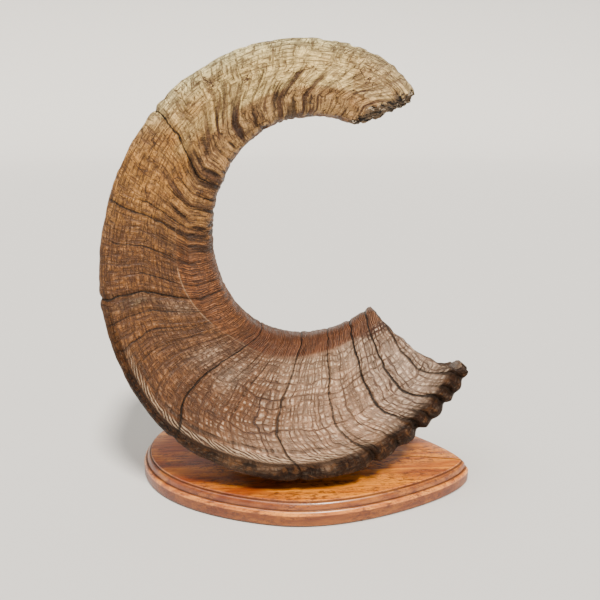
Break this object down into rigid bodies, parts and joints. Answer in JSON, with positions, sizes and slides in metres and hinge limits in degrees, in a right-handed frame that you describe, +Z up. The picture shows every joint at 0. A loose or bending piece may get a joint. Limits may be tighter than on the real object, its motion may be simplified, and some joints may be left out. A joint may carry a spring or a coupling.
{
  "type": "ram's horn shofar display",
  "caption": "Raw curled ram's horn of the kind a shofar is made from, hollow at the base with a worn tip, standing on its outer curve on an egg-shaped routed oak board.",
  "frame": {"origin": "centre of the felt's underside, on the plane the object stands on", "axes": "+Z up, +X along the board towards its narrow end and the horn's open end, -Y towards the front, the side with the horn's broad flank"},
  "size_m": [0.2955, 0.1669, 0.354],
  "materials": {
    "horn": "rough, ridged keratin",
    "oak": "stained, satin varnish",
    "block_wood": "sawn, bare",
    "felt": "matt felt",
    "steel": "zinc plated"
  },
  "bodies": {
    "root": {"horn_sheath": "horn", "display_base": "oak", "mounting_block": "block_wood", "felt_sheet": "felt", "screw_left": "steel", "screw_right": "steel", "washer_left": "steel", "washer_right": "steel"}
  },
  "joints": []
}
